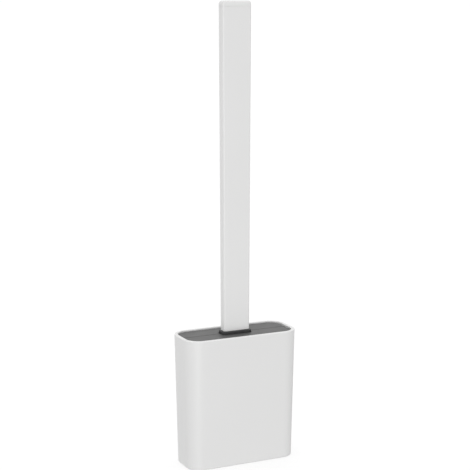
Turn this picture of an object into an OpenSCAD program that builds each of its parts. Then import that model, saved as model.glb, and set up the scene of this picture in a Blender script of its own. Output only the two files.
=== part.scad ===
// Upright toilet brush holder: a slim rounded box that lifts off a drip tray, closed by a
// two-leaf lid, with a flat-handled brush that stands in it.
// Millimetres, +Z up, +X along the holder's width. The origin is the middle of the footprint,
// on the floor.

/* [Holder] */
// Width of the holder at its rim
holder_w = 105; // [104:0.5:108]
// Depth of the holder at its rim
holder_d = 44.6; // [44.2:0.2:46]
// Height of the rim above the floor
holder_h = 115; // [114:0.5:118]
// Radius of the four upright corners at the rim
corner_r = 14.2; // [13.6:0.2:14.6]
// How far each side leans in for every millimetre down
draft = 0.022; // [0.018:0.001:0.024]
// Thickness of the holder's wall and rim
wall = 3; // [2.6:0.1:3]
// Radius of the rounded bottom edge
bottom_r = 0.8; // [0.6:0.1:1.4]

/* [Lid] */
// Depth of the lid below the rim
recess = 1; // [0.8:0.1:1.4]
// Thickness of each lid leaf
leaf_t = 1.8; // [1.6:0.1:2]
// Width of the seam between the two leaves
seam_w = 0.5; // [0.4:0.1:0.8]
// Gap between the leaves and the long sides of the rim
side_gap = 0.68; // [0.6:0.02:0.8]
// Gap between the leaves and the ends of the rim
end_gap = 1.5; // [1.4:0.1:1.8]

/* [Handle] */
// Height of the handle's top above the floor
overall_h = 398.2; // [380:0.2:410]
// Width of the handle where it meets the collar
grip_w_low = 24.4; // [24:0.2:26]
// Width of the handle at its top
grip_w_high = 27; // [26:0.2:28]
// Depth of the handle where it meets the collar
grip_d_low = 8.4; // [8.4:0.1:9]
// Depth of the handle at its top
grip_d_high = 9; // [9:0.1:10]
// Radius of the handle's long edges
grip_edge_r = 1.8; // [1.2:0.1:2]

/* [Brush head] */
// Width of the brush head's paddle
head_w = 68; // [60:1:70]
// Gap between the head's lowest bristles and the drain grate
head_rest_gap = 1.4; // [1.2:0.1:1.6]

/* [Hidden] */
$fn = 64;
eps = 0.01;       // thickness of the slices that a hull joins
over = 1;         // how far a cutting shape runs past the face it cuts
bond = 0.2;       // how far joined shapes of one piece sink into each other

// Holder and tray
shell_z = 0.2;            // the shell's lower edge
rim_r = 0.5;
foot_r = 5;
foot_h = 1.5;
foot_inset = 9;
foot_fit = 0.02;          // room round a foot in its recess
tray_z = 0.8;
tray_h = 7.6;
tray_floor = 1.8;
tray_wall = 1.6;
tray_gap = 0.32;          // round the tray, inside the shell
tray_inner_w = 2 * (half_w(0) - wall - tray_gap - tray_wall);
tray_inner_d = 2 * (half_d(0) - wall - tray_gap - tray_wall);
tray_inner_r = corner_at(0) - wall - tray_gap - tray_wall;
post_r = 2.6;
grate_z = 5.4;
grate_t = 1.8;
grate_gap = 0.3;
slot_w = 3;
slot_pitch = 7;
slot_count = 11;
slot_len = 20;

// Lid frame, hinge pins and leaves
lid_z = holder_h - recess;
frame_drop = 16;          // from the lid's top down to the frame's underside
frame_z = lid_z - frame_drop;
frame_t = 6;
frame_gap = 0.32;
frame_side = 3.4;
frame_end = 5.2;
ledge_t = 2;
ledge_in = 1.3;
hinge_in = 7.78;          // from the shell's inner face to the hinge line
hinge_y = half_d(lid_z) - wall - hinge_in;
hinge_drop = 0.2;         // from the leaf's underside to the hinge line
hinge_z = lid_z - leaf_t - hinge_drop;
pin_r = 0.7;
pin_press = 0.02;         // clearance of the pin in the frame
pin_run = 0.06;           // clearance of a leaf on its pin
knuckle_r = 1.4;
knuckle_len = 6;
knuckle_gap = 0.6;        // between the outer knuckles and the spring
inner_knuckle_x = 16;
knuckle_room = 0.22;      // round the frame's bosses and the spring, in the leaf
relief_r = knuckle_r + knuckle_room;
relief_past = 0.3;        // the relief runs on this far past what it clears
groove_r = 1.05;
groove_past = 0.4;
leaf_half_w = half_w(lid_z) - wall - end_gap;
leaf_half_d = half_d(lid_z) - wall - side_gap;
leaf_corner_r = 10.4;
post_w = 2.8;
post_t = 1.1;
boss_out = leaf_half_w - 1;
boss_in = boss_out - post_w;

// Spring, wound round the hinge pin
spring_len = 2.8;
spring_gap = 0.9;         // between the spring and the frame's boss
spring_x = boss_in - spring_gap - spring_len;
wire_r = 0.2;
coil_r = 1.1;
coil_turns = 5;
coil_steps = 14;
wire_sides = 8;
frame_leg = 3;            // from the hinge line to the leg that stands on the frame
frame_leg_gap = 0.1;
leg_bend = 0.9;
leaf_leg = 5.4;
leaf_leg_rise = 0.85;

// Stem, collar and handle
collar_w = 27.3;
collar_d = 11.8;
collar_r = 2.6;
collar_up = 0.2;          // the collar's underside above the leaves' underside
collar_z = lid_z - leaf_t + collar_up;
collar_proud = 2.4;       // the collar's top above the lid
collar_top = lid_z + collar_proud;
notch_gap = 0.5;
stem_w = 23;
stem_d = 6;
stem_r = 1.6;
stem_z = 74;
slip = 0.1;               // room round a tongue in its slot, both sides together
end_room = 0.2;           // room past a tongue's end in its slot
core_w = 14;
core_t = 2.5;
core_z = 88;
core_from_top = 17;
core_top = overall_h - core_from_top;
handle_foot_r = 0.4;      // the small bevel round the handle's lower edge
cap_h = 5;
cap_r = 3;
cap_line = 0.3;           // the groove where the cap meets the handle
plug_w = 18;
plug_d = 4.6;
plug_h = 8;
plug_room = 0.5;
stem_pin_r = 1.25;
stem_pin_zs = [95, 107];
head_pin_r = 1;
head_pin_x = 4.5;
head_pin_z = 80.5;

// Brush head
head_z = grate_z + grate_t + head_rest_gap;
nub_low = 2.9;
paddle_z = head_z + nub_low;
paddle_top = 60;
paddle_r = 12;
shoulder_z = 46;
neck_w = 25;
neck_z = 67;
pad_half = 1.6;
spine_half = 0.8;
spine_in = 4;
tang_w = 16;
tang_top = 86;
nub_r = 1.5;
nub_tip_r = 0.9;
nub_pitch_x = 6.6;
nub_pitch_z = 6;
nub_rows = 7;
nub_cols = 4;             // each side of the middle one
nub_first_z = 14.5;
edge_nub_len = 3.6;
edge_nub_up = 2;          // the side bristles stand this far above the face rows
nub_root = 1;             // how deep the side and bottom bristles root in the paddle
reach_low = 7.6;          // half the head's thickness at its first row of bristles
reach_slope = 0.125;      // thinner by this for every millimetre up

// Half width, half depth and corner radius of the holder's outside at height z
function half_w(z) = holder_w / 2 - draft * (holder_h - z);
function half_d(z) = holder_d / 2 - draft * (holder_h - z);
function corner_at(z) = corner_r - draft * (holder_h - z);
function grip_part(z) = (z - collar_top) / (overall_h - collar_top);
function grip_w(z) = grip_w_low + (grip_w_high - grip_w_low) * grip_part(z);
function grip_d(z) = grip_d_low + (grip_d_high - grip_d_low) * grip_part(z);

module rounded_rect(w, d, r) {
    square([w - 2 * r, d], center = true);
    square([w, d - 2 * r], center = true);
    for (x = [-1, 1], y = [-1, 1])
        translate([x * (w / 2 - r), y * (d / 2 - r)]) circle(r);
}

module block(w, d, r, z, h) {
    translate([0, 0, z]) linear_extrude(h) rounded_rect(w, d, r);
}

// A thin slice of the holder's section at height z, moved in by inset
module holder_slice(z, inset) {
    block(2 * (half_w(z) - inset), 2 * (half_d(z) - inset), corner_at(z) - inset, z, eps);
}

module grip_slice(z, inset) {
    block(grip_w(z) - 2 * inset, grip_d(z) - 2 * inset, max(grip_edge_r - inset, 0.5), z, eps);
}

// A rod along X from x0 to x1, at y and z
module rod_x(x0, x1, y, z, r) {
    translate([x0, y, z]) rotate([0, 90, 0]) cylinder(h = x1 - x0, r = r);
}

// A rod along Y through the middle of the brush
module rod_y(x, z, r, length) {
    translate([x, length / 2, z]) rotate([90, 0, 0]) cylinder(h = length, r = r);
}

module both_ends() {
    children();
    mirror([1, 0, 0]) children();
}

// ---- Base ----
module foot_places() {
    for (x = [-1, 1], y = [-1, 1])
        translate([x * (half_w(0) - foot_inset - wall), y * (half_d(0) - foot_inset), 0]) children();
}

module drip_tray() {
    color("gray") {
        difference() {
            block(tray_inner_w + 2 * tray_wall, tray_inner_d + 2 * tray_wall,
                  tray_inner_r + tray_wall, tray_z, tray_h);
            block(tray_inner_w, tray_inner_d, tray_inner_r, tray_z + tray_floor, tray_h);
            foot_places() cylinder(h = foot_h + foot_fit, r = foot_r + foot_fit);
        }
        foot_places() translate([0, 0, tray_z + tray_floor - bond])
            cylinder(h = grate_z - tray_z - tray_floor + bond, r = post_r);
    }
}

module rubber_feet() {
    color("dimgray") foot_places() cylinder(h = foot_h, r = foot_r);
}

module drain_grate() {
    color("darkgray") difference() {
        block(tray_inner_w - 2 * grate_gap, tray_inner_d - 2 * grate_gap,
              tray_inner_r - grate_gap, grate_z, grate_t);
        for (i = [0 : slot_count - 1])
            translate([(i - (slot_count - 1) / 2) * slot_pitch, 0, grate_z])
                cube([slot_w, slot_len, 2 * grate_t + over], center = true);
    }
}

// ---- Shell and lid frame ----
module outer_shell() {
    color("white") {
        difference() {
            hull() {
                for (a = [0 : 22.5 : 90])
                    holder_slice(shell_z + bottom_r * (1 - sin(a)), bottom_r * (1 - cos(a)));
                for (a = [0 : 30 : 90])
                    holder_slice(holder_h - rim_r * (1 - sin(a)) - eps, rim_r * (1 - cos(a)));
            }
            hull() {
                holder_slice(-over, wall);
                holder_slice(holder_h + over, wall);
            }
        }
        difference() {
            block(2 * (half_w(frame_z) - wall + bond), 2 * (half_d(frame_z) - wall + bond),
                  corner_at(frame_z) - wall + bond, frame_z - ledge_t, ledge_t);
            block(2 * (half_w(frame_z) - wall - ledge_in), 2 * (half_d(frame_z) - wall - ledge_in),
                  corner_at(frame_z) - wall - ledge_in, frame_z - ledge_t - over, ledge_t + 2 * over);
        }
    }
}

module frame_post() {
    translate([boss_in, hinge_y - knuckle_r, frame_z + frame_t - bond])
        cube([post_w, post_t, hinge_z - frame_z - frame_t + bond]);
    rod_x(boss_in, boss_out, hinge_y, hinge_z, knuckle_r);
}

module lid_frame() {
    frame_w = 2 * (half_w(frame_z) - wall - frame_gap);
    frame_d = 2 * (half_d(frame_z) - wall - frame_gap);
    frame_r = corner_at(frame_z) - wall - frame_gap;
    color("dimgray") difference() {
        union() {
            difference() {
                block(frame_w, frame_d, frame_r, frame_z, frame_t);
                block(frame_w - 2 * frame_end, frame_d - 2 * frame_side, frame_r - frame_side,
                      frame_z - over, frame_t + 2 * over);
            }
            for (m = [0, 1]) mirror([0, m, 0]) both_ends() frame_post();
        }
        for (y = [-hinge_y, hinge_y])
            rod_x(-boss_out - over, boss_out + over, y, hinge_z, pin_r + pin_press);
    }
}

module hinge_pin(side) {
    color("silver") rod_x(-boss_out, boss_out, side * hinge_y, hinge_z, pin_r);
}

// ---- Lid leaves ----
module leaf() {
    color("dimgray") difference() {
        union() {
            difference() {
                translate([0, 0, lid_z - leaf_t]) linear_extrude(leaf_t) intersection() {
                    rounded_rect(2 * leaf_half_w, 2 * leaf_half_d, leaf_corner_r);
                    translate([-holder_w, seam_w / 2]) square([2 * holder_w, holder_d]);
                }
                block(collar_w + 2 * notch_gap, collar_d + 2 * notch_gap, collar_r + notch_gap,
                      lid_z - leaf_t - over, leaf_t + 2 * over);
                rod_x(-boss_out - groove_past, boss_out + groove_past, hinge_y, hinge_z, groove_r);
                both_ends() rod_x(spring_x - relief_past, boss_out + relief_past,
                                  hinge_y, hinge_z, relief_r);
            }
            for (x = [inner_knuckle_x, spring_x - knuckle_gap - knuckle_len])
                both_ends() rod_x(x, x + knuckle_len, hinge_y, hinge_z, knuckle_r);
        }
        rod_x(-boss_out - groove_past, boss_out + groove_past, hinge_y, hinge_z, pin_r + pin_run);
    }
}

module rear_lid_leaf() {
    leaf();
}

module front_lid_leaf() {
    mirror([0, 1, 0]) leaf();
}

// The spring's path: a leg that stands on the frame, a bend, the coil round the pin from its
// outer end inwards, and a leg under the leaf's outer half, which holds the leaf shut
spring_out = spring_x + spring_len - wire_r;
spring_in = spring_x + wire_r;
spring_low = hinge_z - coil_r;
coil_last = coil_steps * coil_turns;
function bend_point(a) = [spring_out, hinge_y - frame_leg + leg_bend * (1 - cos(a)),
    spring_low - leg_bend * (1 - sin(a))];
function coil_point(i) = let (a = 270 + 360 * i / coil_steps)
    [spring_out + (spring_in - spring_out) * i / coil_last,
     hinge_y + coil_r * cos(a), hinge_z + coil_r * sin(a)];
spring_path = concat(
    [[spring_out, hinge_y - frame_leg, frame_z + frame_t + frame_leg_gap]],
    [for (a = [0 : 30 : 90]) bend_point(a)],
    [for (i = [0 : coil_last]) coil_point(i)],
    [for (t = [0.5, 1]) [spring_in, hinge_y + leaf_leg * t, spring_low + leaf_leg_rise * t * t]]);
function heading(p, i) = let (d = p[min(i + 1, len(p) - 1)] - p[max(i - 1, 0)]) d / norm(d);
function wire_ring(p, i) = let (t = heading(p, i), n = cross(t, [1, 0, 0]), u = n / norm(n), v = cross(t, u))
    [for (k = [0 : wire_sides - 1])
        p[i] + wire_r * (u * cos(360 * k / wire_sides) + v * sin(360 * k / wire_sides))];

// A wire of round section along path p
module wire(p) {
    n = len(p);
    s = wire_sides;
    points = [for (i = [0 : n - 1]) each wire_ring(p, i)];
    walls = [for (i = [0 : n - 2], k = [0 : s - 1])
        [i * s + k, i * s + (k + 1) % s, (i + 1) * s + (k + 1) % s, (i + 1) * s + k]];
    ends = [[for (k = [s - 1 : -1 : 0]) k], [for (k = [0 : s - 1]) (n - 1) * s + k]];
    polyhedron(points, concat(walls, ends), convexity = 10);
}

module rear_leaf_spring() {
    color("silver") wire(spring_path);
}

module front_leaf_spring() {
    mirror([0, 1, 0]) rear_leaf_spring();
}

// ---- Handle and stem ----
module handle_shell() {
    top = overall_h - cap_h;
    color("white") difference() {
        hull() {
            grip_slice(collar_top, handle_foot_r);
            grip_slice(collar_top + handle_foot_r, 0);
            grip_slice(top - cap_line - eps, 0);
            grip_slice(top - eps, cap_line);
        }
        translate([-(core_w + slip) / 2, -(core_t + slip) / 2, collar_top - over])
            cube([core_w + slip, core_t + slip, core_top - collar_top + 2 * over]);
        translate([-(plug_w + slip) / 2, -(plug_d + slip) / 2, top - plug_h - plug_room])
            cube([plug_w + slip, plug_d + slip, plug_h + over]);
    }
}

module handle_end_cap() {
    foot = overall_h - cap_h;
    color("white") {
        hull() {
            grip_slice(foot, cap_line);
            grip_slice(foot + cap_line, 0);
            for (a = [0 : 15 : 90])
                block(grip_w(overall_h) - 2 * cap_r * (1 - cos(a)),
                      grip_d(overall_h) - 2 * grip_edge_r * (1 - cos(a)),
                      grip_edge_r, overall_h - cap_r * (1 - sin(a)) - eps, eps);
        }
        translate([-plug_w / 2, -plug_d / 2, foot - plug_h])
            cube([plug_w, plug_d, plug_h + bond]);
    }
}

module handle_core() {
    color("silver") difference() {
        translate([-core_w / 2, -core_t / 2, core_z]) cube([core_w, core_t, core_top - core_z]);
        for (z = stem_pin_zs) rod_y(0, z, stem_pin_r + pin_press, stem_d);
    }
}

module handle_collar() {
    color("black") difference() {
        block(collar_w, collar_d, collar_r, collar_z, collar_top - collar_z);
        block(stem_w + slip, stem_d + slip, stem_r + slip / 2, collar_z - over,
              collar_top - collar_z + 2 * over);
    }
}

module stem() {
    color("dimgray") difference() {
        block(stem_w, stem_d, stem_r, stem_z, collar_top - stem_z);
        translate([-(core_w + slip) / 2, -(core_t + slip) / 2, core_z - end_room])
            cube([core_w + slip, core_t + slip, collar_top - core_z + over]);
        translate([-(tang_w + slip) / 2, -spine_half - slip / 2, stem_z - over])
            cube([tang_w + slip, 2 * spine_half + slip, tang_top - stem_z + over + end_room]);
        for (z = stem_pin_zs) rod_y(0, z, stem_pin_r + pin_press, stem_d + over);
        for (x = [-head_pin_x, head_pin_x]) rod_y(x, head_pin_z, head_pin_r + pin_press, stem_d + over);
    }
}

module stem_pins() {
    color("silver") for (z = stem_pin_zs) rod_y(0, z, stem_pin_r, stem_d);
}

module head_pins() {
    color("silver") for (x = [-head_pin_x, head_pin_x]) rod_y(x, head_pin_z, head_pin_r, stem_d);
}

// ---- Brush head ----
// The paddle's outline, seen from the front, moved in by inset
module paddle_outline(inset) {
    low = paddle_z + inset;
    translate([0, (low + paddle_top) / 2])
        rounded_rect(head_w - 2 * inset, paddle_top - low, paddle_r - inset);
    polygon([[-head_w / 2 + inset, shoulder_z], [head_w / 2 - inset, shoulder_z],
             [neck_w / 2 - inset, neck_z], [-neck_w / 2 + inset, neck_z]]);
}

module upright_plate(half) {
    translate([0, half, 0]) rotate([90, 0, 0]) linear_extrude(2 * half) children();
}

module spine_solid() {
    upright_plate(spine_half) {
        paddle_outline(spine_in);
        translate([-tang_w / 2, shoulder_z]) square([tang_w, tang_top - shoulder_z]);
    }
}

module head_spine() {
    color("gainsboro") difference() {
        spine_solid();
        for (x = [-head_pin_x, head_pin_x])
            rod_y(x, head_pin_z, head_pin_r + pin_press, stem_d);
    }
}

module nub(length, r, tip_r) {
    cylinder(h = length, r1 = r, r2 = tip_r, $fn = 24);
}

module face_nubs() {
    for (row = [0 : nub_rows - 1], col = [-nub_cols : nub_cols]) {
        z = nub_first_z + row * nub_pitch_z;
        reach = reach_low - reach_slope * (z - nub_first_z);
        x = col * nub_pitch_x;
        translate([x, pad_half - bond, z]) rotate([-90, 0, 0])
            nub(reach - pad_half + bond, nub_r, nub_tip_r);
    }
}

module edge_nubs() {
    for (row = [1 : nub_rows - 1])
        translate([head_w / 2 - nub_root, 0, nub_first_z + row * nub_pitch_z + edge_nub_up])
            rotate([0, 90, 0]) nub(edge_nub_len, nub_r, nub_tip_r);
}

module bottom_nubs() {
    for (col = [-2 : 2])
        translate([col * nub_pitch_x, 0, paddle_z + nub_root]) rotate([180, 0, 0])
            nub(nub_low + nub_root, nub_r, nub_tip_r);
}

module brush_head() {
    color("lightgray") difference() {
        union() {
            upright_plate(pad_half) paddle_outline(0);
            face_nubs();
            mirror([0, 1, 0]) face_nubs();
            both_ends() edge_nubs();
            bottom_nubs();
        }
        spine_solid();
    }
}

drip_tray();
drain_grate();
rubber_feet();
outer_shell();
lid_frame();
hinge_pin(-1);  // front_hinge_pin
hinge_pin(1);  // rear_hinge_pin
front_leaf_spring();
rear_leaf_spring();
front_lid_leaf();
rear_lid_leaf();
handle_shell();
handle_end_cap();
handle_core();
handle_collar();
stem();
stem_pins();
head_pins();
head_spine();
brush_head();
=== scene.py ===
"""Toilet brush holder: detailed holder, lid leaves, handle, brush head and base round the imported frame.

Metres, +Z up. Places come from the CAD nodes' boxes and from the sizes below, which repeat the CAD's.
"""
import math

import bmesh
import bpy
from mathutils import Matrix, Vector


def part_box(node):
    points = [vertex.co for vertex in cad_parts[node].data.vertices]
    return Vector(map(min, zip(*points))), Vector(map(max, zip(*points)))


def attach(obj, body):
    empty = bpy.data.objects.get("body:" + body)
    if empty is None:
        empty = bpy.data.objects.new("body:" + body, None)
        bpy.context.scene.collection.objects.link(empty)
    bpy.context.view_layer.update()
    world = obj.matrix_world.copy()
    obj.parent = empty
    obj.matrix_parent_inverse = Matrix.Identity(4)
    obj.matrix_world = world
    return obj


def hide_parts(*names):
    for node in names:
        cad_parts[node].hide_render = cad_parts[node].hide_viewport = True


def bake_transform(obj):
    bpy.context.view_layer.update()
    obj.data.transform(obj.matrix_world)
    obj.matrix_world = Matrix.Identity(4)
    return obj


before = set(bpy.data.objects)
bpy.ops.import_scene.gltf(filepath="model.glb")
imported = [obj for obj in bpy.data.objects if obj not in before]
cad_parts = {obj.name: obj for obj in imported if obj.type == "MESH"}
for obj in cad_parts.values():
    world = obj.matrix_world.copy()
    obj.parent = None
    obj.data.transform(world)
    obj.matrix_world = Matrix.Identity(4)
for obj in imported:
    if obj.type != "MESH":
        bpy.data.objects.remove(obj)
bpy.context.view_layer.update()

MM = 0.001
SHELL_LOW, SHELL_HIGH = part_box("outer_shell")
FRAME_LOW, FRAME_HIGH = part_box("lid_frame")
PIN_LOW, PIN_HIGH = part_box("rear_hinge_pin")
LEAF_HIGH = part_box("rear_lid_leaf")[1]
HANDLE_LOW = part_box("handle_shell")[0]
CAP_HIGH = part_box("handle_end_cap")[1]
CORE_LOW, CORE_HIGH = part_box("handle_core")
COLLAR_LOW, COLLAR_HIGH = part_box("handle_collar")
STEM_LOW, STEM_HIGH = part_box("stem")
HEAD_LOW, HEAD_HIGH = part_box("brush_head")
TRAY_LOW, TRAY_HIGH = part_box("drip_tray")
GRATE_LOW, GRATE_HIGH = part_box("drain_grate")
FEET_LOW, FEET_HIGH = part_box("rubber_feet")

# Meshes
MERGE_DIST = 0.002 * MM
LEAST_R = 0.05 * MM
CUT_PAST = 1 * MM
FIT_ROOM = 0.05 * MM
BORE_ROOM = 0.02 * MM

# Holder
HOLDER_H = SHELL_HIGH.z
CORNER_R = 14.2 * MM
DRAFT = 0.022
WALL = 3 * MM
WALL_CHAMFER = 0.3 * MM
BOTTOM_R = 0.8 * MM
RIM_OUTER_R = 0.7 * MM
RIM_INNER_R = 0.45 * MM
LEDGE_T = 2 * MM
LEDGE_W = 1.3 * MM

# Lid
LEAF_T = 1.8 * MM
LEAF_EDGE = 0.22 * MM
SEAM_W = 0.5 * MM
LEAF_CORNER_R = 10.4 * MM
NOTCH_GAP = 0.5 * MM
COLLAR_R = 2.6 * MM
HINGE_Y = (PIN_LOW.y + PIN_HIGH.y) / 2
HINGE_Z = (PIN_LOW.z + PIN_HIGH.z) / 2
PIN_R = (PIN_HIGH.z - PIN_LOW.z) / 2
PIN_CHAMFER = 0.12 * MM
KNUCKLE_R = 1.4 * MM
KNUCKLE_ROOM = 0.22 * MM
KNUCKLE_CHAMFER = 0.15 * MM
KNUCKLE_BORE_ROOM = 0.06 * MM
GROOVE_R = 1.05 * MM
RELIEF_PAST = 0.3 * MM
FRAME_TOP = FRAME_LOW.z + 6 * MM
FRAME_R = 10.5 * MM
FRAME_END_W = 5.2 * MM
FRAME_SIDE_W = 3.4 * MM
FRAME_EDGE = 0.3 * MM
POST_W = 2.8 * MM
POST_HALF_T = 0.55 * MM
POST_CORNER_R = 0.25 * MM
POST_EDGE = 0.2 * MM
BOSS_BORE_ROOM = 0.01 * MM
BOSS_OUT = PIN_HIGH.x
BOSS_IN = BOSS_OUT - POST_W
SPRING_LEN = 2.8 * MM
SPRING_GAP = 0.9 * MM
SPRING_X = BOSS_IN - SPRING_LEN - SPRING_GAP
KNUCKLE_GAP = 0.6 * MM
KNUCKLE_LEN = 6 * MM
INNER_KNUCKLE_X = 16 * MM
KNUCKLES = ((SPRING_X - KNUCKLE_GAP - KNUCKLE_LEN, SPRING_X - KNUCKLE_GAP),
            (INNER_KNUCKLE_X, INNER_KNUCKLE_X + KNUCKLE_LEN))
WIRE_R = 0.2 * MM
COIL_R = 1.1 * MM
COIL_TURNS = 5
FRAME_LEG_IN = 3 * MM
FRAME_LEG_HEIGHTS = (0.1 * MM, 2 * MM, 4 * MM)
FRAME_LEG_BEND_R = 0.9 * MM
LEAF_LEG_OUT = 5.4 * MM
LEAF_LEG_RISE = 0.85 * MM

# Handle
GRIP_W_LOW = 24.4 * MM
GRIP_D_LOW = 8.4 * MM
GRIP_EDGE_R = 1.8 * MM
GRIP_EDGE_LOSS = 1.2 * MM
GRIP_CHAMFER = 0.5 * MM
CAP_H = 5 * MM
CAP_R = 3 * MM
CAP_FACE_R = 1.5 * MM
CAP_GROOVE = 0.25 * MM
COLLAR_EDGE = 0.6 * MM
CORE_CORNER_R = 0.4 * MM
CORE_EDGE = 0.3 * MM
STEM_R = 1.6 * MM
STEM_EDGE = 0.5 * MM
SLOT_END_ROOM = 0.2 * MM
STEM_PIN_R = 1.25 * MM
STEM_PINS = ((0, 95 * MM), (0, 107 * MM))
HEAD_PIN_R = 1 * MM
HEAD_PINS = ((-4.5 * MM, 80.5 * MM), (4.5 * MM, 80.5 * MM))
CROSS_PIN_CHAMFER = 0.2 * MM

# Brush head
HEAD_HALF_W = 34 * MM
PADDLE_HALF_T = 1.6 * MM
PADDLE_EDGE = 1.3 * MM
PADDLE_R = 12 * MM
PADDLE_LOW = HEAD_LOW.z + 2.9 * MM
PADDLE_TOP = 60 * MM
SHOULDER_DEG = 78
SHOULDER_X = 20 * MM
SHOULDER_Z = PADDLE_TOP + 0.4 * MM
NECK_HALF_W = 12.5 * MM
SPINE_IN = 4 * MM
SPINE_HALF_T = 0.8 * MM
SPINE_EDGE = 0.15 * MM
TANG_HALF_W = 8 * MM
TANG_FOOT = HEAD_HIGH.z - 2 * MM
TANG_TOP = 86 * MM
TANG_TIP = 1.2 * MM
BRISTLE_R = 1.4 * MM
BRISTLE_TIP_R = 0.9 * MM
BRISTLE_FLARE = 0.45 * MM
BRISTLE_FLARE_H = 0.12 * MM
BRISTLE_SUNK = 0.25 * MM
BRISTLE_PITCH_X = 6.6 * MM
BRISTLE_PITCH_Z = 6 * MM
BRISTLE_ROWS = 7
BRISTLE_COLS = 4
BRISTLE_FIRST_Z = 14.5 * MM
BRISTLE_THINNING = 0.125
EDGE_BRISTLE_R = 1 * MM
EDGE_BRISTLE_RISE = 2 * MM
TOE_BRISTLE_R = 1.1 * MM
TOE_BRISTLE_COLS = 2
EDGE_ROOT = 0.3 * MM

# Base
TRAY_FLOOR = 1.8 * MM
TRAY_WALL = 1.6 * MM
TRAY_R = 8.35 * MM
TRAY_EDGE = 0.5 * MM
TRAY_INNER_R = 1.2 * MM
POST_R = 2.6 * MM
POST_FLARE = 0.5 * MM
POST_SUNK = 0.2 * MM
POST_CHAMFER = 0.15 * MM
GRATE_R = 6.45 * MM
GRATE_EDGE = 0.4 * MM
FOOT_R = 5 * MM
FOOT_EDGE = 0.35 * MM
FOOT_DISH = 0.25 * MM
FOOT_AT = (FEET_HIGH.x - FOOT_R, FEET_HIGH.y - FOOT_R)
SLOT_COUNT = 11
SLOT_PITCH = 7 * MM
SLOT_W = 3 * MM
SLOT_LEN = 20 * MM
SLOT_EDGE = 0.3 * MM
SLOT_PAST = 0.5 * MM

# Photograph's viewpoint: left of the front, level with the handle's top, looking slightly down
CAMERA_AT = Vector((-0.4840, -1.0217, 0.4064))
CAMERA_YAW = math.radians(25.35)
CAMERA_PITCH = math.radians(10.36)
CAMERA_LENS = 102.55
CAMERA_SENSOR = 36.0


# ---- Mesh helpers ----
def new_piece(name, bm, material, body, replaced, sharp_deg=35):
    """Makes a smooth shaded object of the bmesh, puts it under its body's empty if it has a body, and hides
    the CAD parts it replaces.
    """
    bmesh.ops.recalc_face_normals(bm, faces=bm.faces)
    mesh = bpy.data.meshes.new(name)
    bm.to_mesh(mesh)
    bm.free()
    for face in mesh.polygons:
        face.use_smooth = True
    mesh.set_sharp_from_angle(angle=math.radians(sharp_deg))
    mesh.materials.append(material)
    piece = bpy.data.objects.new(name, mesh)
    bpy.context.scene.collection.objects.link(piece)
    normals = piece.modifiers.new("even_normals", "WEIGHTED_NORMAL")
    normals.keep_sharp = True
    if body is not None:
        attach(piece, body)
    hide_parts(*replaced)
    return piece


def rounded_ring(half_w, half_d, radius, z, arc_steps=16, centre=(0, 0)):
    """Points of a rounded rectangle, anticlockwise from above, the same number for any size."""
    points = []
    for quarter in range(4):
        sx = 1 if quarter in (0, 3) else -1
        sy = 1 if quarter < 2 else -1
        cx = centre[0] + sx * (half_w - radius)
        cy = centre[1] + sy * (half_d - radius)
        for step in range(arc_steps + 1):
            angle = math.pi / 2 * (quarter + step / arc_steps)
            points.append(Vector((cx + radius * math.cos(angle), cy + radius * math.sin(angle), z)))
    return points


def circle_ring(x, y, z, radius, steps=32):
    return [Vector((x + radius * math.cos(2 * math.pi * i / steps),
                    y + radius * math.sin(2 * math.pi * i / steps), z)) for i in range(steps)]


def loft(bm, rings, closed=False, turn=None):
    """Joins rings of points into walls, and closes the two ends, or joins the last to the first."""
    if turn is not None:
        rings = [[turn @ p for p in ring] for ring in rings]
    loops = [[bm.verts.new(p) for p in ring] for ring in rings]
    count = len(loops)
    for i in range(count if closed else count - 1):
        low, high = loops[i], loops[(i + 1) % count]
        size = len(low)
        for k in range(size):
            bm.faces.new((low[k], low[(k + 1) % size], high[(k + 1) % size], high[k]))
    if not closed:
        bm.faces.new(list(reversed(loops[0])))
        bm.faces.new(loops[-1])
    return bm


def arc(z, inset, radius, start_deg, end_deg, steps=6):
    """Profile points (z, inset) on a quarter round whose centre is at z and inset."""
    found = []
    for i in range(steps + 1):
        angle = math.radians(start_deg + (end_deg - start_deg) * i / steps)
        found.append((z + radius * math.sin(angle), inset - radius * math.cos(angle)))
    return found


def boolean(target, tools, operation):
    """Cuts the tool bmeshes out of the target bmesh, or joins them, and gives a new bmesh."""
    def temp(bm, name):
        bmesh.ops.recalc_face_normals(bm, faces=bm.faces)
        mesh = bpy.data.meshes.new(name)
        bm.to_mesh(mesh)
        bm.free()
        made = bpy.data.objects.new(name, mesh)
        bpy.context.scene.collection.objects.link(made)
        return made

    base = temp(target, "base")
    spent = [base]
    for tool in tools:
        other = temp(tool, "tool")
        step = base.modifiers.new("cut", "BOOLEAN")
        step.operation = operation
        step.solver = "EXACT"
        step.object = other
        spent.append(other)
    graph = bpy.context.evaluated_depsgraph_get()
    result = bmesh.new()
    result.from_mesh(base.evaluated_get(graph).to_mesh())
    base.evaluated_get(graph).to_mesh_clear()
    for thing in spent:
        mesh = thing.data
        bpy.data.objects.remove(thing)
        bpy.data.meshes.remove(mesh)
    bmesh.ops.remove_doubles(result, verts=result.verts, dist=MERGE_DIST)
    return result


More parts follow.
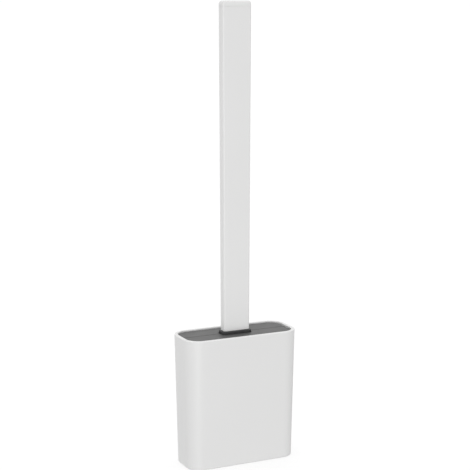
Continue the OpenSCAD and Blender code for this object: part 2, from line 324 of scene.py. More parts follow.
def rod(axis, start, end, radius, chamfer=0.0, steps=32):
    """A round rod between two points along X, Y or Z, with small chamfers at its ends."""
    bm = bmesh.new()
    turn = {"x": Matrix.Rotation(math.pi / 2, 4, "Y"), "y": Matrix.Rotation(-math.pi / 2, 4, "X"),
            "z": Matrix.Identity(4)}[axis]
    length = (Vector(end) - Vector(start)).length
    rings = []
    if chamfer:
        rings.append(circle_ring(0, 0, 0, radius - chamfer, steps))
    rings.append(circle_ring(0, 0, chamfer, radius, steps))
    rings.append(circle_ring(0, 0, length - chamfer, radius, steps))
    if chamfer:
        rings.append(circle_ring(0, 0, length, radius - chamfer, steps))
    return loft(bm, rings, turn=Matrix.Translation(Vector(start)) @ turn)


def brick(low, high):
    """A plain box between two corners, for cutting with."""
    corners = ((low[0], low[1]), (high[0], low[1]), (high[0], high[1]), (low[0], high[1]))
    return loft(bmesh.new(), [[Vector((x, y, z)) for x, y in corners] for z in (low[2], high[2])])


def lathe(profile, turn, steps):
    """A solid of revolution round Z through (z, radius) points, placed by a matrix."""
    return loft(bmesh.new(), [circle_ring(0, 0, z, radius, steps) for z, radius in profile], turn=turn)


def soft_block(half_w, half_d, radius, z_low, z_high, edge, steps=3, arc_steps=8):
    """An upright block with rounded corners and rounded top and bottom edges."""
    profile = arc(z_low + edge, edge, edge, -90, 0, steps) + arc(z_high - edge, edge, edge, 0, 90, steps)
    return loft(bmesh.new(), [rounded_ring(half_w - i, half_d - i, max(radius - i, LEAST_R), z, arc_steps)
                              for z, i in profile])


def plate(outline, half, edge, steps=4):
    """An upright plate across Y with rounded edges; outline(inset) gives its (x, z) points."""
    front = []
    for i in range(steps + 1):
        angle = math.pi / 2 * i / steps
        front.append((half - edge * (1 - math.cos(angle)), edge * (1 - math.sin(angle))))
    sections = [(-y, inset) for y, inset in front] + list(reversed(front))
    return loft(bmesh.new(), [[Vector((x, y, z)) for x, z in outline(inset)] for y, inset in sections])


def sweep(path, radius, sides=12):
    """A round wire along a path that never runs along X."""
    rings = []
    for i, point in enumerate(path):
        ahead = (path[min(i + 1, len(path) - 1)] - path[max(i - 1, 0)]).normalized()
        across = Vector((1, 0, 0)) - ahead * ahead.x
        across.normalize()
        other = ahead.cross(across)
        rings.append([point + radius * (across * math.cos(a) + other * math.sin(a))
                      for a in (2 * math.pi * k / sides for k in range(sides))])
    return loft(bmesh.new(), rings)


def merged(parts):
    """One bmesh that holds several closed bodies."""
    whole = bmesh.new()
    for part in parts:
        mesh = bpy.data.meshes.new("part")
        bmesh.ops.recalc_face_normals(part, faces=part.faces)
        part.to_mesh(mesh)
        part.free()
        whole.from_mesh(mesh)
        bpy.data.meshes.remove(mesh)
    return whole


def four_places(x, y):
    return [(x_side * x, y_side * y) for x_side in (-1, 1) for y_side in (-1, 1)]


def hinge_rod(x0, x1, radius, chamfer=0.0, side=1):
    """A rod on the rear leaf's hinge line, or on the front leaf's where side is -1."""
    return rod("x", (x0, side * HINGE_Y, HINGE_Z), (x1, side * HINGE_Y, HINGE_Z), radius, chamfer)


def cross_rods(places, radius, past=0.0, chamfer=0.0):
    """Rods through the stem's depth at (x, z) places."""
    return [rod("y", (x, STEM_LOW.y - past, z), (x, STEM_HIGH.y + past, z), radius, chamfer)
            for x, z in places]


# ---- Materials ----
ROUGH_CHANGE = 0.04
RAMP_AT = (0.3, 0.7)
SCATTER_RADIUS = (0.004, 0.004, 0.004)
SCATTER_SCALE = 0.5


def noise(nodes, links, coords, scale, detail, rough=0.5):
    tex = nodes.new("ShaderNodeTexNoise")
    tex.inputs["Scale"].default_value = scale
    tex.inputs["Detail"].default_value = detail
    tex.inputs["Roughness"].default_value = rough
    links.new(coords.outputs["Object"], tex.inputs["Vector"])
    return tex


def ramp(nodes, links, source, low, high):
    """Maps a noise's value between two values or colours."""
    node = nodes.new("ShaderNodeValToRGB")
    node.color_ramp.elements[0].position, node.color_ramp.elements[1].position = RAMP_AT
    node.color_ramp.elements[0].color = (*low, 1)
    node.color_ramp.elements[1].color = (*high, 1)
    links.new(source.outputs["Fac"], node.inputs["Fac"])
    return node


def grey(value):
    return (value, value, value)


def tone(colour, change):
    return tuple(max(0.0, c * (1 + change)) for c in colour)


def surface(name, colour, roughness, mottle=0.02, mottle_scale=25.0, grain_scale=2600.0,
            grain_depth=0.01 * MM, metallic=0.0, subsurface=0.0, sheen=0.0, stretch=None, specular=0.5):
    """A finish with slow colour changes, uneven gloss and fine grain."""
    material = bpy.data.materials.new(name)
    material.use_nodes = True
    nodes, links = material.node_tree.nodes, material.node_tree.links
    shader = nodes["Principled BSDF"]
    coords = nodes.new("ShaderNodeTexCoord")
    shader.inputs["Metallic"].default_value = metallic
    shader.inputs["Sheen Weight"].default_value = sheen
    shader.inputs["Specular IOR Level"].default_value = specular
    shader.inputs["Subsurface Weight"].default_value = subsurface
    shader.inputs["Subsurface Radius"].default_value = SCATTER_RADIUS
    shader.inputs["Subsurface Scale"].default_value = SCATTER_SCALE
    slow = noise(nodes, links, coords, mottle_scale, 4.0)
    tint = ramp(nodes, links, slow, tone(colour, -mottle), tone(colour, mottle))
    links.new(tint.outputs["Color"], shader.inputs["Base Color"])
    patchy = noise(nodes, links, coords, mottle_scale * 2.7, 5.0, 0.6)
    gloss = ramp(nodes, links, patchy, grey(roughness - ROUGH_CHANGE), grey(roughness + ROUGH_CHANGE))
    links.new(gloss.outputs["Color"], shader.inputs["Roughness"])
    fine = noise(nodes, links, coords, grain_scale, 2.0, 0.6)
    if stretch is not None:
        squeeze = nodes.new("ShaderNodeMapping")
        squeeze.inputs["Scale"].default_value = stretch
        links.new(coords.outputs["Object"], squeeze.inputs["Vector"])
        links.new(squeeze.outputs["Vector"], fine.inputs["Vector"])
    grain = nodes.new("ShaderNodeBump")
    grain.inputs["Strength"].default_value = 1.0
    grain.inputs["Distance"].default_value = grain_depth
    links.new(fine.outputs["Fac"], grain.inputs["Height"])
    links.new(grain.outputs["Normal"], shader.inputs["Normal"])
    return material


WHITE = (0.76, 0.76, 0.757)
white_plastic = surface("white_satin", WHITE, 0.38, mottle=0.008, mottle_scale=12, grain_depth=0.004 * MM)
lid_plastic = surface("lid_grey", (0.086, 0.086, 0.085), 0.45, mottle=0.05, grain_depth=0.008 * MM,
                      specular=0.35)
frame_plastic = surface("frame_grey", (0.12, 0.12, 0.12), 0.5, mottle=0.05)
collar_plastic = surface("collar_black", (0.035, 0.035, 0.036), 0.5, mottle=0.1, grain_depth=0.008 * MM)
stem_plastic = surface("stem_grey", (0.26, 0.26, 0.26), 0.45, mottle=0.03)
spine_plastic = surface("spine_grey", (0.5, 0.5, 0.5), 0.5, mottle=0.03)
bristle_rubber = surface("bristle_rubber", (0.36, 0.37, 0.38), 0.55, mottle=0.04, subsurface=0.15, sheen=0.1)
tray_plastic = surface("tray_grey", (0.3, 0.3, 0.3), 0.45, mottle=0.03)
grate_plastic = surface("grate_grey", (0.38, 0.38, 0.38), 0.5, mottle=0.03)
foot_rubber = surface("foot_rubber", (0.05, 0.05, 0.05), 0.75, mottle=0.12, grain_depth=0.02 * MM)
steel = surface("ground_steel", (0.6, 0.6, 0.59), 0.28, metallic=1.0, mottle=0.04,
                grain_scale=1500, stretch=(0.05, 1, 1), grain_depth=0.006 * MM)
spring_steel = surface("spring_steel", (0.55, 0.55, 0.54), 0.3, metallic=1.0, mottle=0.05)
core_steel = surface("core_steel", (0.56, 0.56, 0.55), 0.35, metallic=1.0, mottle=0.05,
                     grain_scale=1500, stretch=(1, 1, 0.04))


# ---- Holder ----
def half_w(z):
    return SHELL_HIGH.x - DRAFT * (HOLDER_H - z)


def half_d(z):
    return SHELL_HIGH.y - DRAFT * (HOLDER_H - z)


def corner_at(z):
    return CORNER_R - DRAFT * (HOLDER_H - z)


def holder_ring(z, inset):
    return rounded_ring(half_w(z) - inset, half_d(z) - inset, corner_at(z) - inset, z, 20)


def make_shell():
    """A tapered wall with a rounded rim and foot, and an inner ledge for the lid frame."""
    low, chamfer, wall_rings = SHELL_LOW.z, WALL_CHAMFER, 10
    ledge_top, ledge_low, ledge_in = FRAME_LOW.z, FRAME_LOW.z - LEDGE_T, WALL + LEDGE_W
    profile = [(low + chamfer, WALL), (low, WALL - chamfer)]
    profile += arc(low + BOTTOM_R, BOTTOM_R, BOTTOM_R, -90, 0, 8)
    straight = HOLDER_H - RIM_OUTER_R - low - BOTTOM_R
    profile += [(low + BOTTOM_R + straight * i / wall_rings, 0) for i in range(1, wall_rings)]
    profile += arc(HOLDER_H - RIM_OUTER_R, RIM_OUTER_R, RIM_OUTER_R, 0, 90, 6)
    profile += [(z, 2 * (WALL - RIM_INNER_R) - inset) for z, inset in
                arc(HOLDER_H - RIM_INNER_R, WALL - RIM_INNER_R, RIM_INNER_R, 90, 0, 5)]
    profile += [(ledge_top, WALL), (ledge_top, ledge_in - chamfer), (ledge_top - chamfer, ledge_in),
                (ledge_low + chamfer, ledge_in), (ledge_low, ledge_in - chamfer),
                (ledge_low, WALL), ((low + ledge_top) / 2, WALL)]
    bm = loft(bmesh.new(), [holder_ring(z, inset) for z, inset in profile], closed=True)
    new_piece("holder_shell", bm, white_plastic, "shell", ["outer_shell"])


# ---- Lid ----
def leaf_outline(z_top):
    """The leaf's outline from above: the rounded outer edge, then the seam edge with its notch."""
    half_len, outer, seam = LEAF_HIGH.x, LEAF_HIGH.y, SEAM_W / 2
    notch_x, notch_y = COLLAR_HIGH.x + NOTCH_GAP, COLLAR_HIGH.y + NOTCH_GAP
    notch_r = COLLAR_R + NOTCH_GAP
    points = [(half_len, seam)]

    def corner(x, y, radius, first, last, steps):
        for i in range(steps + 1):
            angle = math.pi / 2 * (first + (last - first) * i / steps)
            points.append((x + radius * math.cos(angle), y + radius * math.sin(angle)))

    corner(half_len - LEAF_CORNER_R, outer - LEAF_CORNER_R, LEAF_CORNER_R, 0, 1, 20)
    corner(LEAF_CORNER_R - half_len, outer - LEAF_CORNER_R, LEAF_CORNER_R, 1, 2, 20)
    points += [(-half_len, seam), (-notch_x, seam)]
    corner(notch_r - notch_x, notch_y - notch_r, notch_r, 2, 1, 8)
    corner(notch_x - notch_r, notch_y - notch_r, notch_r, 1, 0, 8)
    points.append((notch_x, seam))
    return [Vector((x, y, z_top)) for x, y in points]


def make_leaf(name, node, body, side):
    """Half of the lid, with knuckles on its hinge pin and a groove between them."""
    bm = bmesh.new()
    face = bm.faces.new([bm.verts.new(p) for p in leaf_outline(LEAF_HIGH.z)])
    made = bmesh.ops.extrude_face_region(bm, geom=[face])
    lower = [v for v in made["geom"] if isinstance(v, bmesh.types.BMVert)]
    bmesh.ops.translate(bm, vec=(0, 0, -LEAF_T), verts=lower)
    bmesh.ops.recalc_face_normals(bm, faces=bm.faces)
    level = [e for e in bm.edges if abs(e.verts[0].co.z - e.verts[1].co.z) < 0.001 * MM]
    bmesh.ops.bevel(bm, geom=level, offset=LEAF_EDGE, segments=3, profile=0.5, affect="EDGES",
                    clamp_overlap=True)
    post_out, relief_x = BOSS_OUT + RELIEF_PAST, SPRING_X - RELIEF_PAST
    cuts = [hinge_rod(-post_out, post_out, GROOVE_R)]
    cuts += [hinge_rod(x0, x1, KNUCKLE_R + KNUCKLE_ROOM)
             for x0, x1 in ((-post_out, -relief_x), (relief_x, post_out))]
    bm = boolean(bm, cuts, "DIFFERENCE")
    knuckles = [hinge_rod(a, b, KNUCKLE_R, KNUCKLE_CHAMFER)
                for x0, x1 in KNUCKLES for a, b in ((x0, x1), (-x1, -x0))]
    bm = boolean(bm, knuckles, "UNION")
    bm = boolean(bm, [hinge_rod(-post_out, post_out, PIN_R + KNUCKLE_BORE_ROOM)], "DIFFERENCE")
    if side < 0:
        bmesh.ops.scale(bm, vec=(1, -1, 1), verts=bm.verts)
    new_piece(name, bm, lid_plastic, body, [node])


def spring_path():
    """A leg that stands on the frame, the coil round the pin, and a leg under the leaf's outer half."""
    outer, inner = SPRING_X + SPRING_LEN - WIRE_R, SPRING_X + WIRE_R
    low, leg_y = HINGE_Z - COIL_R, HINGE_Y - FRAME_LEG_IN
    bend_steps, coil_steps, leg_steps = 6, 32 * COIL_TURNS, 8
    path = [Vector((outer, leg_y, FRAME_TOP + height)) for height in FRAME_LEG_HEIGHTS]
    for i in range(bend_steps + 1):
        angle = math.pi / 2 * i / bend_steps
        path.append(Vector((outer, leg_y + FRAME_LEG_BEND_R * (1 - math.cos(angle)),
                            low - FRAME_LEG_BEND_R * (1 - math.sin(angle)))))
    for i in range(coil_steps + 1):
        part = i / coil_steps
        angle = math.pi * 1.5 + 2 * math.pi * COIL_TURNS * part
        path.append(Vector((outer + (inner - outer) * part, HINGE_Y + COIL_R * math.cos(angle),
                            HINGE_Z + COIL_R * math.sin(angle))))
    for i in range(1, leg_steps + 1):
        part = i / leg_steps
        path.append(Vector((inner, HINGE_Y + LEAF_LEG_OUT * part, low + LEAF_LEG_RISE * part ** 2)))
    return path


def make_spring(name, node, side):
    bm = sweep(spring_path(), WIRE_R)
    bmesh.ops.scale(bm, vec=(1, side, 1), verts=bm.verts)
    bmesh.ops.recalc_face_normals(bm, faces=bm.faces)
    spring = new_piece(name, bm, spring_steel, None, [node], 60)
    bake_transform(spring)


def make_lid_frame():
    """A flat ring on the shell's ledge, with four posts that hold the hinge pins."""
    low, high, edge, w, d = FRAME_LOW.z, FRAME_TOP, FRAME_EDGE, FRAME_HIGH.x, FRAME_HIGH.y
    profile = arc(low + edge, edge, edge, -90, 0, 3) + arc(high - edge, edge, edge, 0, 90, 3)
    rings = [rounded_ring(w - i, d - i, FRAME_R - i, z, 12) for z, i in profile]
    rings += [rounded_ring(w - FRAME_END_W + i, d - FRAME_SIDE_W + i, FRAME_R - FRAME_SIDE_W + i, z, 12)
              for z, i in reversed(profile)]
    ring = loft(bmesh.new(), rings, closed=True)
    posts, bosses, bores = [], [], []
    for side in (-1, 1):
        for x_side in (-1, 1):
            x0, x1 = sorted((x_side * BOSS_IN, x_side * BOSS_OUT))
            post = soft_block(POST_W / 2, POST_HALF_T, POST_CORNER_R, high - CUT_PAST, HINGE_Z, POST_EDGE)
            at = ((x0 + x1) / 2, side * (HINGE_Y - KNUCKLE_R + POST_HALF_T), 0)
            bmesh.ops.translate(post, vec=at, verts=post.verts)
            posts.append(post)
            bosses.append(hinge_rod(x0, x1, KNUCKLE_R, KNUCKLE_CHAMFER, side))
            bores.append(hinge_rod(x0 - CUT_PAST, x1 + CUT_PAST, PIN_R + BOSS_BORE_ROOM, side=side))
    bm = boolean(ring, posts, "UNION")
    bm = boolean(bm, bosses, "UNION")
    bm = boolean(bm, bores, "DIFFERENCE")
    new_piece("hinge_frame", bm, frame_plastic, "shell", ["lid_frame"])


def make_hinge_pin(name, node, side):
    bm = hinge_rod(PIN_LOW.x, PIN_HIGH.x, PIN_R, PIN_CHAMFER, side)
    new_piece(name, bm, steel, "shell", [node], 50)


# ---- Handle ----
def grip_size(z):
    part = (z - HANDLE_LOW.z) / (CAP_HIGH.z - HANDLE_LOW.z)
    return (GRIP_W_LOW / 2 + (CAP_HIGH.x - GRIP_W_LOW / 2) * part,
            GRIP_D_LOW / 2 + (CAP_HIGH.y - GRIP_D_LOW / 2) * part)


def grip_ring(z, inset_w, inset_d=None):
    inset_d = inset_w if inset_d is None else inset_d
    w, d = grip_size(z)
    return rounded_ring(w - inset_w, d - inset_d, GRIP_EDGE_R - min(inset_d, GRIP_EDGE_LOSS), z, 10)


def make_handle():
    """The long tapered grip, with a slot for the core bar."""
    low, high, chamfer, wall_rings = HANDLE_LOW.z, CAP_HIGH.z - CAP_H, GRIP_CHAMFER, 30
    profile = arc(low + chamfer, chamfer, chamfer, -90, 0, 4)
    profile += [(low + (high - low) * i / wall_rings, 0) for i in range(1, wall_rings)]
    profile += arc(high - CAP_GROOVE, CAP_GROOVE, CAP_GROOVE, 0, 90, 3)
    bm = loft(bmesh.new(), [grip_ring(z, inset) for z, inset in profile])
    slot = brick((CORE_LOW.x - FIT_ROOM, CORE_LOW.y - FIT_ROOM, low - CUT_PAST),
                 (CORE_HIGH.x + FIT_ROOM, CORE_HIGH.y + FIT_ROOM, CORE_HIGH.z + FIT_ROOM))
    bm = boolean(bm, [slot], "DIFFERENCE")
    new_piece("handle_grip", bm, white_plastic, "brush", ["handle_shell"])


def make_cap():
    """The grip's end cap, with a crowned top and half of the fine groove at its joint."""
    low, high, crown_steps = CAP_HIGH.z - CAP_H, CAP_HIGH.z, 10
    rings = [grip_ring(z, inset)
             for z, inset in arc(low + CAP_GROOVE, CAP_GROOVE, CAP_GROOVE, -90, 0, 3)]
    rings.append(grip_ring(high - CAP_R, 0))
    for i in range(1, crown_steps + 1):
        angle = math.pi / 2 * i / crown_steps
        rings.append(grip_ring(high - CAP_R * (1 - math.sin(angle)), CAP_R * (1 - math.cos(angle)),
                               CAP_FACE_R * (1 - math.cos(angle))))
    new_piece("handle_cap", loft(bmesh.new(), rings), white_plastic, "brush", ["handle_end_cap"])


def make_collar():
    low, high, edge = COLLAR_LOW.z, COLLAR_HIGH.z, COLLAR_EDGE
    hole_w, hole_d = STEM_HIGH.x + FIT_ROOM, STEM_HIGH.y + FIT_ROOM
    profile = arc(low + edge, edge, edge, -90, 0, 4) + arc(high - edge, edge, edge, 0, 90, 5)
    rings = [rounded_ring(COLLAR_HIGH.x - i, COLLAR_HIGH.y - i, COLLAR_R - i, z, 12) for z, i in profile]
    rings += [rounded_ring(hole_w, hole_d, STEM_R, z, 12) for z in (high, low)]
    bm = loft(bmesh.new(), rings, closed=True)
    new_piece("collar", bm, collar_plastic, "brush", ["handle_collar"])


def make_core():
    bm = soft_block(CORE_HIGH.x, CORE_HIGH.y, CORE_CORNER_R, CORE_LOW.z, CORE_HIGH.z, CORE_EDGE)
    bm = boolean(bm, cross_rods(STEM_PINS, STEM_PIN_R + BORE_ROOM), "DIFFERENCE")
    new_piece("core_bar", bm, core_steel, "brush", ["handle_core"])


def make_stem():
    """The flat stem under the collar, slotted for the core bar and the head's tang, and drilled."""
    bm = soft_block(STEM_HIGH.x, STEM_HIGH.y, STEM_R, STEM_LOW.z, STEM_HIGH.z, STEM_EDGE, 4)
    core_slot = brick((CORE_LOW.x - FIT_ROOM, CORE_LOW.y - FIT_ROOM, CORE_LOW.z - SLOT_END_ROOM),
                      (CORE_HIGH.x + FIT_ROOM, CORE_HIGH.y + FIT_ROOM, STEM_HIGH.z + CUT_PAST))
    tang_w, tang_d = TANG_HALF_W + FIT_ROOM, SPINE_HALF_T + FIT_ROOM
    tang_slot = brick((-tang_w, -tang_d, STEM_LOW.z - CUT_PAST), (tang_w, tang_d, TANG_TOP + SLOT_END_ROOM))
    bm = boolean(bm, [core_slot, tang_slot], "DIFFERENCE")
    holes = cross_rods(STEM_PINS, STEM_PIN_R + BORE_ROOM, CUT_PAST)
    holes += cross_rods(HEAD_PINS, HEAD_PIN_R + BORE_ROOM, CUT_PAST)
    bm = boolean(bm, holes, "DIFFERENCE")
    new_piece("brush_stem", bm, stem_plastic, "brush", ["stem"])


def make_pins():
    long_pins = cross_rods(STEM_PINS, STEM_PIN_R, chamfer=CROSS_PIN_CHAMFER)
    new_piece("stem_pin_pair", merged(long_pins), steel, "brush", ["stem_pins"], 50)
    short_pins = cross_rods(HEAD_PINS, HEAD_PIN_R, chamfer=CROSS_PIN_CHAMFER)
    new_piece("head_pin_pair", merged(short_pins), steel, "brush", ["head_pins"], 50)


# ---- Brush head ----
def both_sides(points):
    """Closes an outline's right half, given from the bottom up, with its mirror image."""
    return points + [(-x, z) for x, z in reversed(points)]


def head_outline(inset):
    """The paddle from the front: round corners, then hollow shoulders up to the neck."""
    x, r, corner_steps, shoulder_steps = HEAD_HALF_W - PADDLE_R, PADDLE_R - inset, 12, 8
    points = []
    for z, first, last in ((PADDLE_LOW + PADDLE_R, -90, 0), (PADDLE_TOP - PADDLE_R, 0, SHOULDER_DEG)):
        for i in range(corner_steps + 1):
            angle = math.radians(first + (last - first) * i / corner_steps)
            points.append((x + r * math.cos(angle), z + r * math.sin(angle)))
    start, hollow = points[-1], (SHOULDER_X, SHOULDER_Z - inset)
    neck = (NECK_HALF_W - inset, HEAD_HIGH.z - inset)
    for i in range(1, shoulder_steps + 1):
        t = i / shoulder_steps
        points.append(tuple((1 - t) ** 2 * a + 2 * t * (1 - t) * b + t * t * c
                            for a, b, c in zip(start, hollow, neck)))
    return both_sides(points)


def spine_outline(inset):
    """The stiff plate inside the paddle, with a tang that goes up into the stem."""
    outline = head_outline(SPINE_IN + inset)
    right = outline[:len(outline) // 2]
    right += [(TANG_HALF_W - inset, TANG_FOOT), (TANG_HALF_W - inset, TANG_TOP - TANG_TIP - inset),
              (TANG_HALF_W - TANG_TIP - inset, TANG_TOP - inset)]
    return both_sides(right)


def bristle(length, base_r, turn):
    """A stubby bristle with a flared root and a domed tip, from the paddle's face outwards."""
    flare, tip = BRISTLE_FLARE, BRISTLE_TIP_R
    profile = [(-BRISTLE_SUNK, base_r + flare), (0, base_r + flare),
               (BRISTLE_FLARE_H, base_r + 0.45 * flare), (flare, base_r)]
    for part in (0.33, 0.66):
        profile.append((flare + (length - tip - flare) * part, base_r + (tip - base_r) * part))
    for degrees in (0, 20, 40, 60, 76, 86):
        angle = math.radians(degrees)
        profile.append((length - tip + tip * math.sin(angle), tip * math.cos(angle)))
    return lathe(profile, turn, 20)


def make_head():
    """The paddle, hollow for the spine, with bristles on both faces, its two edges and its toe."""
    paddle = plate(head_outline, PADDLE_HALF_T, PADDLE_EDGE, 6)
    pocket = plate(lambda inset: spine_outline(inset - BORE_ROOM), SPINE_HALF_T + BORE_ROOM, SPINE_EDGE)
    parts = [boolean(paddle, [pocket], "DIFFERENCE")]
    edge_x, toe_z = HEAD_HALF_W - EDGE_ROOT, PADDLE_LOW + EDGE_ROOT
    for row in range(BRISTLE_ROWS):
        z = BRISTLE_FIRST_Z + row * BRISTLE_PITCH_Z
        reach = HEAD_HIGH.y - BRISTLE_THINNING * (z - BRISTLE_FIRST_Z)
        for col in range(-BRISTLE_COLS, BRISTLE_COLS + 1):
            for side in (-1, 1):
                turn = (Matrix.Translation((col * BRISTLE_PITCH_X, side * PADDLE_HALF_T, z))
                        @ Matrix.Rotation(-side * math.pi / 2, 4, "X"))
                parts.append(bristle(reach - PADDLE_HALF_T, BRISTLE_R, turn))
        if row > 0:
            for side in (-1, 1):
                turn = (Matrix.Translation((side * edge_x, 0, z + EDGE_BRISTLE_RISE))
                        @ Matrix.Rotation(side * math.pi / 2, 4, "Y"))
                parts.append(bristle(HEAD_HIGH.x - edge_x, EDGE_BRISTLE_R, turn))
    for col in range(-TOE_BRISTLE_COLS, TOE_BRISTLE_COLS + 1):
        turn = Matrix.Translation((col * BRISTLE_PITCH_X, 0, toe_z)) @ Matrix.Rotation(math.pi, 4, "X")
        parts.append(bristle(toe_z - HEAD_LOW.z, TOE_BRISTLE_R, turn))
    new_piece("bristle_head", merged(parts), bristle_rubber, "brush", ["brush_head"], 50)


def make_spine():
    bm = plate(spine_outline, SPINE_HALF_T, SPINE_EDGE)
    bm = boolean(bm, cross_rods(HEAD_PINS, HEAD_PIN_R + BORE_ROOM), "DIFFERENCE")
    new_piece("spine_plate", bm, spine_plastic, "brush", ["head_spine"])


# ---- Base ----
def make_tray():
    """A shallow tray with a rolled rim, rounded inner corners, and four posts for the grate."""
    low, high, w, d = TRAY_LOW.z, TRAY_HIGH.z, TRAY_HIGH.x, TRAY_HIGH.y
    edge, inner_r, floor, inner_steps = TRAY_EDGE, TRAY_INNER_R, TRAY_LOW.z + TRAY_FLOOR, 6
    profile = arc(low + edge, edge, edge, -90, 0, 4) + arc(high - edge, edge, edge, 0, 90, 4)
    profile += [(z, 2 * (TRAY_WALL - edge) - i)
                for z, i in arc(high - edge, TRAY_WALL - edge, edge, 90, 0, 4)]
    profile += [(floor + inner_r - inner_r * math.sin(angle), TRAY_WALL + inner_r * (1 - math.cos(angle)))
                for angle in (math.pi / 2 * i / inner_steps for i in range(inner_steps + 1))]
    bm = loft(bmesh.new(), [rounded_ring(w - i, d - i, TRAY_R - i, z, 16) for z, i in profile])
    feet = [rod("z", (x, y, 0), (x, y, FEET_HIGH.z + BORE_ROOM), FOOT_R + BORE_ROOM, steps=48)
            for x, y in four_places(*FOOT_AT)]
    bm = boolean(bm, feet, "DIFFERENCE")
    flare, chamfer = POST_FLARE, POST_CHAMFER
    profile = [(floor - POST_SUNK, POST_R + flare), (floor, POST_R + flare),
               (floor + chamfer, POST_R + 0.4 * flare), (floor + flare, POST_R),
               (GRATE_LOW.z - chamfer, POST_R), (GRATE_LOW.z, POST_R - chamfer)]
    posts = [lathe(profile, Matrix.Translation((x, y, 0)), 32) for x, y in four_places(*FOOT_AT)]
    bm = boolean(bm, posts, "UNION")
    new_piece("tray", bm, tray_plastic, "base", ["drip_tray"])


def make_grate():
    """A plate with rounded edges and a row of slots, eased at their upper edges."""
    low, high, edge = GRATE_LOW.z, GRATE_HIGH.z, SLOT_EDGE
    bm = soft_block(GRATE_HIGH.x, GRATE_HIGH.y, GRATE_R, low, high, GRATE_EDGE, 4, 12)
    profile = [(low - SLOT_PAST, 0), (high - edge, 0), (high, edge), (high + SLOT_PAST, edge)]
    slots = []
    for i in range(SLOT_COUNT):
        centre = ((i - (SLOT_COUNT - 1) / 2) * SLOT_PITCH, 0)
        rings = []
        for z, out in profile:
            half = SLOT_W / 2 + out - edge
            rings.append(rounded_ring(half, SLOT_LEN / 2 + out - edge, half - BORE_ROOM, z, 8, centre))
        slots.append(loft(bmesh.new(), rings))
    bm = boolean(bm, [merged(slots)], "DIFFERENCE")
    new_piece("grate", bm, grate_plastic, "base", ["drain_grate"])


def make_feet():
    """Four rubber pads with a dished underside."""
    low, high, edge, dish = FEET_LOW.z, FEET_HIGH.z, FOOT_EDGE, FOOT_DISH
    profile = [(low + dish, BORE_ROOM), (low + dish, FOOT_R - 1.8 * MM),
               (low + 0.05 * MM, FOOT_R - 1.4 * MM), (low, FOOT_R - 1.2 * MM), (low, FOOT_R - edge),
               (low + 0.1 * MM, FOOT_R - 0.1 * MM), (low + edge, FOOT_R),
               (high - POST_CHAMFER, FOOT_R), (high, FOOT_R - POST_CHAMFER)]
    pads = [lathe(profile, Matrix.Translation((x, y, 0)), 48) for x, y in four_places(*FOOT_AT)]
    new_piece("foot_pads", merged(pads), foot_rubber, "base", ["rubber_feet"], 40)


make_tray()
make_grate()
make_feet()
make_shell()
make_lid_frame()
make_hinge_pin("hinge_pin_front", "front_hinge_pin", -1)
make_hinge_pin("hinge_pin_rear", "rear_hinge_pin", 1)
make_leaf("lid_leaf_rear", "rear_lid_leaf", "rear_leaf", 1)
make_leaf("lid_leaf_front", "front_lid_leaf", "front_leaf", -1)
make_spring("spring_front", "front_leaf_spring", -1)
make_spring("spring_rear", "rear_leaf_spring", 1)
make_handle()
make_cap()
make_core()
make_collar()
make_stem()
make_pins()
make_spine()
make_head()


# ---- Studio ----
# Strength of the soft white surroundings from each side
WORLD_LOBES = {"left": (Vector((-1, 0, 0)), 0.25), "right": (Vector((1, 0, 0)), 0.394),
               "front": (Vector((0, -1, 0)), 0.367), "back": (Vector((0, 1, 0)), 0.92),
               "above": (Vector((0, 0, 1)), 1.54), "below": (Vector((0, 0, -1)), 0.541)}
# White band at the horizon, and the heights (sine of the elevation) between which it fades out
HORIZON_GLOW = 1.03
HORIZON_FADE = (0.20, 0.30)
KEY_AT = Vector((-0.72, -1.32, 0.14))
KEY_AIM = Vector((0, 0, 0.06))
KEY_SIZE = (0.4, 0.8)
KEY_POWER = 6.546
FLOOR_HALF = 60
FLOOR_ALBEDO = 0.35
FLOOR_GLOW = 0.661


def make_floor():
    """A pale floor that the camera sees, and that neither lights nor shades the object."""
    bm = bmesh.new()
    bmesh.ops.create_grid(bm, x_segments=2, y_segments=2, size=FLOOR_HALF)
    mesh = bpy.data.meshes.new("floor")
    bm.to_mesh(mesh)
    bm.free()
    floor = bpy.data.objects.new("floor", mesh)
    bpy.context.scene.collection.objects.link(floor)
    material = bpy.data.materials.new("floor_white")
    material.use_nodes = True
    shader = material.node_tree.nodes["Principled BSDF"]
    shader.inputs["Base Color"].default_value = (FLOOR_ALBEDO, FLOOR_ALBEDO, FLOOR_ALBEDO, 1)
    shader.inputs["Roughness"].default_value = 1.0
    shader.inputs["Specular IOR Level"].default_value = 0.0
    shader.inputs["Emission Color"].default_value = (1, 1, 1, 1)
    shader.inputs["Emission Strength"].default_value = FLOOR_GLOW
    mesh.materials.append(material)
    floor.visible_diffuse = False
    floor.visible_glossy = False
    floor.visible_transmission = False
    floor.visible_shadow = False


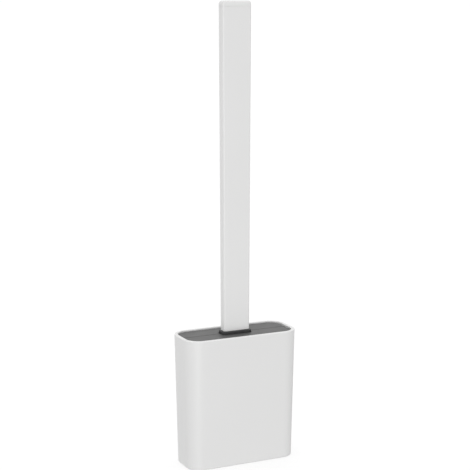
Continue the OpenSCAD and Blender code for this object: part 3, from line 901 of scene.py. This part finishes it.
def make_world():
    """White surroundings whose brightness depends only on the direction."""
    world = bpy.data.worlds.new("studio")
    bpy.context.scene.world = world
    world.use_nodes = True
    nodes, links = world.node_tree.nodes, world.node_tree.links
    background = nodes["Background"]
    background.inputs["Color"].default_value = (1, 1, 1, 1)
    direction = nodes.new("ShaderNodeTexCoord").outputs["Generated"]

    def along(axis):
        facing = nodes.new("ShaderNodeVectorMath")
        facing.operation = "DOT_PRODUCT"
        facing.inputs[1].default_value = axis
        links.new(direction, facing.inputs[0])
        return facing.outputs["Value"]

    total = None
    for axis, strength in WORLD_LOBES.values():
        front = nodes.new("ShaderNodeMath")
        front.operation = "MAXIMUM"
        front.inputs[1].default_value = 0.0
        links.new(along(axis), front.inputs[0])
        square = nodes.new("ShaderNodeMath")
        square.operation = "MULTIPLY"
        links.new(front.outputs[0], square.inputs[0])
        links.new(front.outputs[0], square.inputs[1])
        lobe = nodes.new("ShaderNodeMath")
        lobe.operation = "MULTIPLY_ADD"
        lobe.inputs[1].default_value = strength
        lobe.inputs[2].default_value = 0.0
        links.new(square.outputs[0], lobe.inputs[0])
        if total is not None:
            links.new(total, lobe.inputs[2])
        total = lobe.outputs[0]

    height = nodes.new("ShaderNodeMath")
    height.operation = "ABSOLUTE"
    links.new(along((0, 0, 1)), height.inputs[0])
    band = nodes.new("ShaderNodeMapRange")
    band.interpolation_type = "SMOOTHSTEP"
    band.inputs["From Min"].default_value, band.inputs["From Max"].default_value = HORIZON_FADE
    band.inputs["To Min"].default_value = 1.0
    band.inputs["To Max"].default_value = 0.0
    links.new(height.outputs[0], band.inputs["Value"])
    blend = nodes.new("ShaderNodeMix")
    blend.data_type = "FLOAT"
    links.new(band.outputs["Result"], blend.inputs[0])
    links.new(total, blend.inputs[2])
    blend.inputs[3].default_value = HORIZON_GLOW
    links.new(blend.outputs[0], background.inputs["Strength"])


def make_key_light():
    data = bpy.data.lights.new("key", "AREA")
    data.shape = "RECTANGLE"
    data.size, data.size_y = KEY_SIZE
    data.energy = KEY_POWER
    light = bpy.data.objects.new("key", data)
    light.location = KEY_AT
    light.rotation_mode = "QUATERNION"
    light.rotation_quaternion = (KEY_AIM - KEY_AT).to_track_quat("-Z", "Y")
    bpy.context.scene.collection.objects.link(light)


def make_camera():
    data = bpy.data.cameras.new("camera")
    data.lens = CAMERA_LENS
    data.sensor_width = CAMERA_SENSOR
    data.clip_end = 10 * FLOOR_HALF
    camera = bpy.data.objects.new("camera", data)
    camera.location = CAMERA_AT
    level = math.cos(CAMERA_PITCH)
    ahead = Vector((math.sin(CAMERA_YAW) * level, math.cos(CAMERA_YAW) * level, -math.sin(CAMERA_PITCH)))
    camera.rotation_mode = "QUATERNION"
    camera.rotation_quaternion = ahead.to_track_quat("-Z", "Y")
    bpy.context.scene.collection.objects.link(camera)
    bpy.context.scene.camera = camera


make_floor()
make_world()
make_key_light()
make_camera()
bpy.context.scene.view_settings.view_transform = "Standard"
